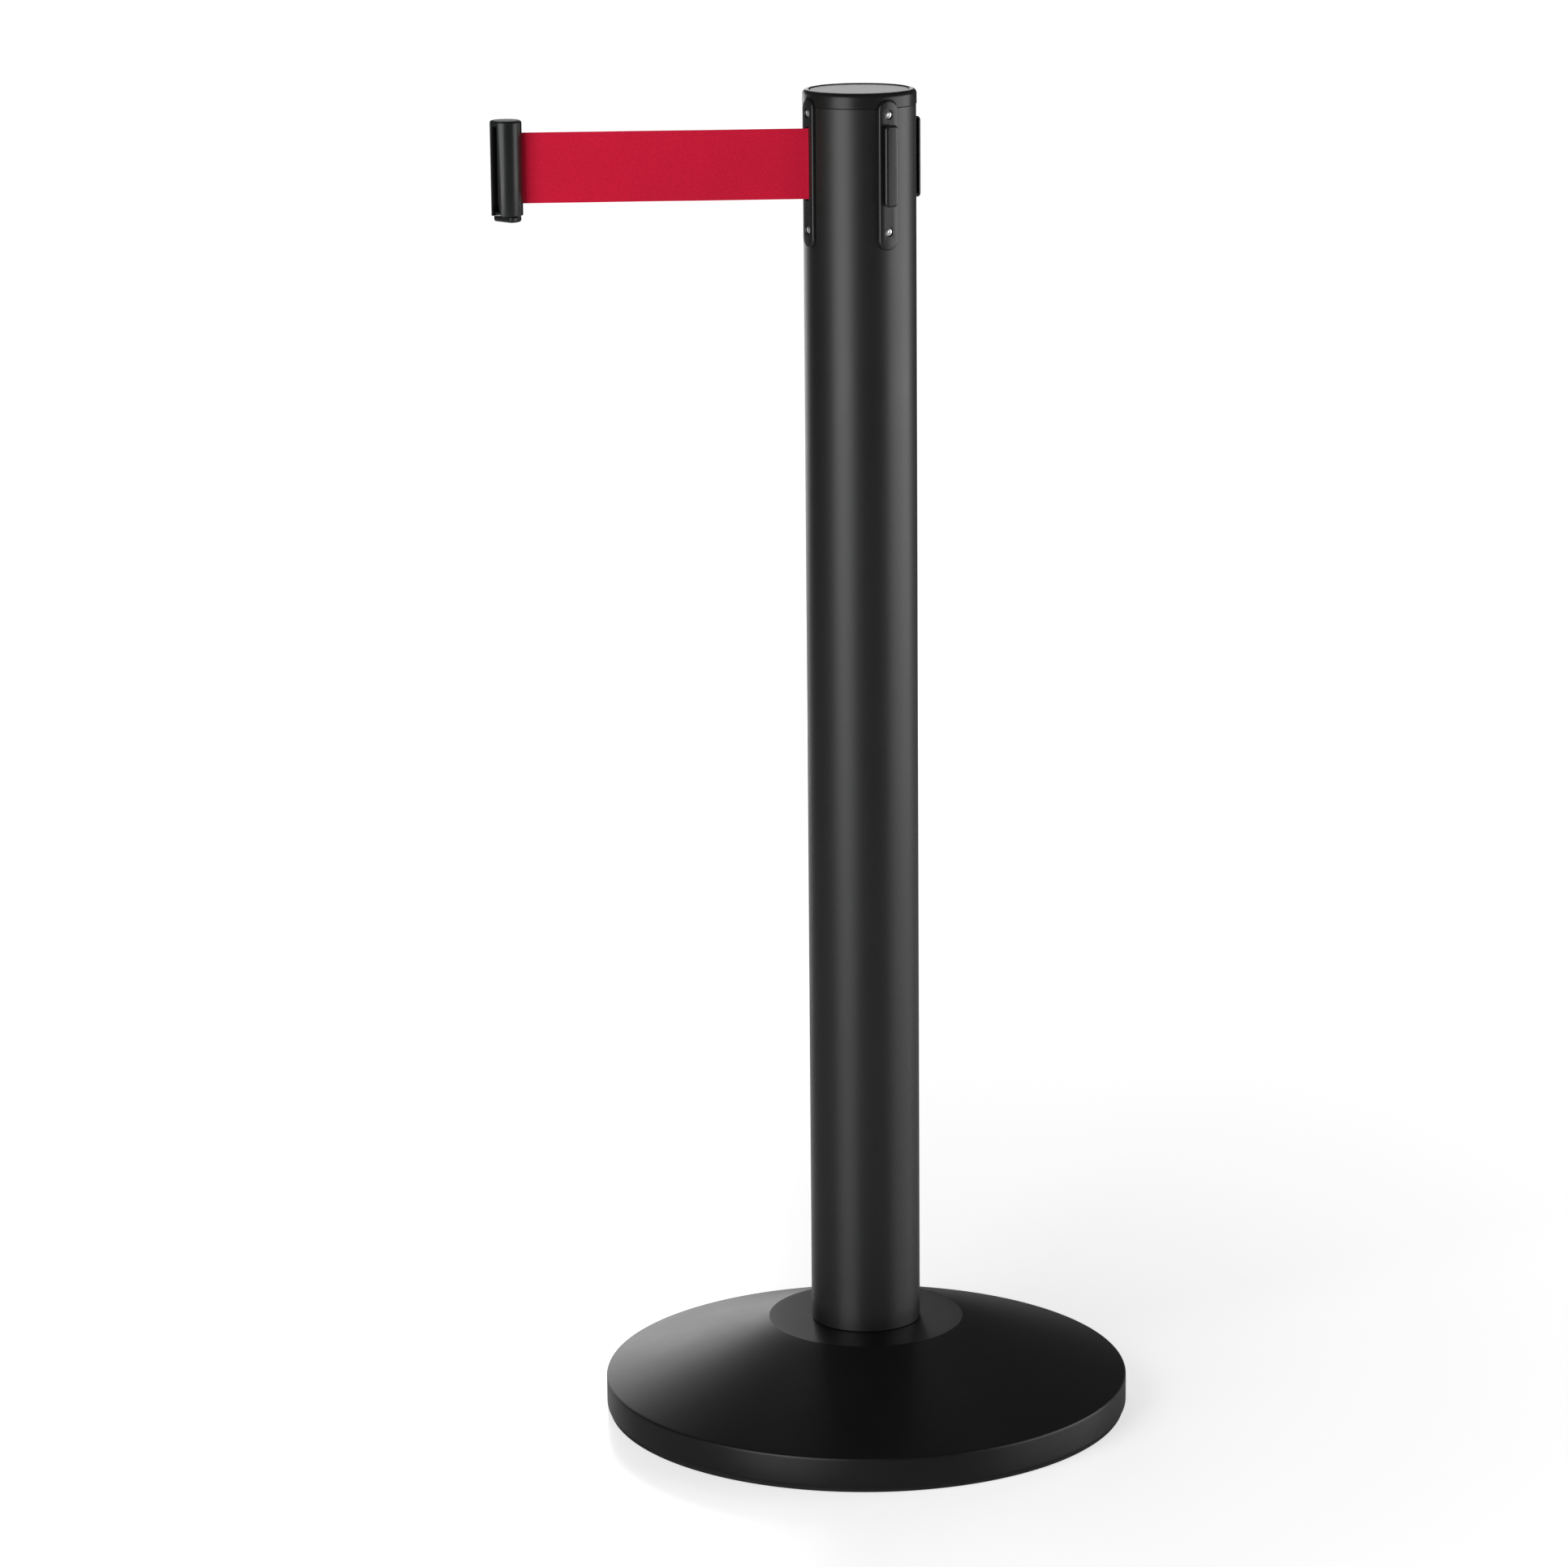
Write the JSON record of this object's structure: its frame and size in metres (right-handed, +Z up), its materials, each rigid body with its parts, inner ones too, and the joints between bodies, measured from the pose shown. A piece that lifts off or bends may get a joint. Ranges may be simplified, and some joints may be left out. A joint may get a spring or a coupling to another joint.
{
  "type": "retractable belt stanchion",
  "caption": "Free-standing queue post with a weighted dished base and a sprung webbing belt whose end clip slides onto the T-rail of another post.",
  "frame": {"origin": "on the floor, on the post's axis", "axes": "+Z up along the post; the belt leaves the head on the -X side; the T-rails face -Y, +X and +Y"},
  "size_m": [0.4156, 0.366, 0.925],
  "materials": {
    "black_paint": "satin powder coat",
    "black_plastic": "satin moulded",
    "grey_disc": "satin",
    "red_webbing": "woven polyester",
    "rubber": "matte",
    "cast_iron": "rough cast",
    "bright_steel": "bright zinc",
    "spring_steel": "blued",
    "brass": "plain",
    "grey_plastic": "moulded"
  },
  "bodies": {
    "post": {"base_cover": "black_paint", "base_weight": "cast_iron", "floor_ring": "rubber", "base_bolt": "bright_steel", "lock_washer": "bright_steel", "base_washer": "bright_steel", "tube_plug": "cast_iron", "post_tube": "black_paint", "top_cap": "black_plastic", "cap_disc": "grey_disc", "cap_screw": "bright_steel", "outlet_plate": "black_plastic", "receiver_plate_1": "black_plastic", "receiver_plate_2": "black_plastic", "receiver_plate_3": "black_plastic", "plate_screw_1": "bright_steel", "plate_screw_2": "bright_steel", "plate_screw_3": "bright_steel", "plate_screw_4": "bright_steel", "plate_screw_5": "bright_steel", "plate_screw_6": "bright_steel", "plate_screw_7": "bright_steel", "plate_screw_8": "bright_steel", "cassette_top": "grey_plastic", "cassette_bottom": "grey_plastic", "cassette_pillar_1": "bright_steel", "cassette_pillar_2": "bright_steel", "cassette_pillar_3": "bright_steel", "cassette_pillar_4": "bright_steel", "spindle": "bright_steel", "spindle_collar": "brass", "power_spring": "spring_steel", "belt_lead": "red_webbing"},
    "reel": {"reel": "black_plastic", "reel_cover": "black_plastic", "bush_upper": "brass", "bush_lower": "brass", "belt_roll": "red_webbing"},
    "belt_end": {"belt_loop": "red_webbing", "belt_run": "red_webbing"},
    "clip": {"clip_body": "black_plastic", "clip_pin": "bright_steel", "lock_spring": "spring_steel"},
    "lock": {"clip_lock": "black_plastic"}
  },
  "joints": [
    {"name": "belt_pull", "type": "slide", "parent": "post", "child": "belt_end", "axis": [-0.9041, 0.4274, 0], "range_m": [-0.1857, 1.8], "stiffness_N_per_m": 3, "springref_m": -2, "deforming": ["belt_run"]},
    {"name": "reel_spin", "type": "hinge", "parent": "post", "child": "reel", "pos_m": [0, 0, 0.877], "axis": [0, 0, 1], "continuous": true},
    {"name": "clip_swivel", "type": "hinge", "parent": "belt_end", "child": "clip", "pos_m": [-0.2173, 0.08419, 0.877], "axis": [0, 0, 1], "range_deg": [-86, 2]},
    {"name": "lock_slide", "type": "slide", "parent": "clip", "child": "lock", "axis": [0.9521, 0.3057, 0], "range_m": [0, 0.0034], "stiffness_N_per_m": 150, "springref_m": -0.01, "deforming": ["lock_spring"]}
  ],
  "couplings": [
    {"joint": "reel_spin", "follows": "belt_pull", "rad_per_m": -41.5}
  ]
}
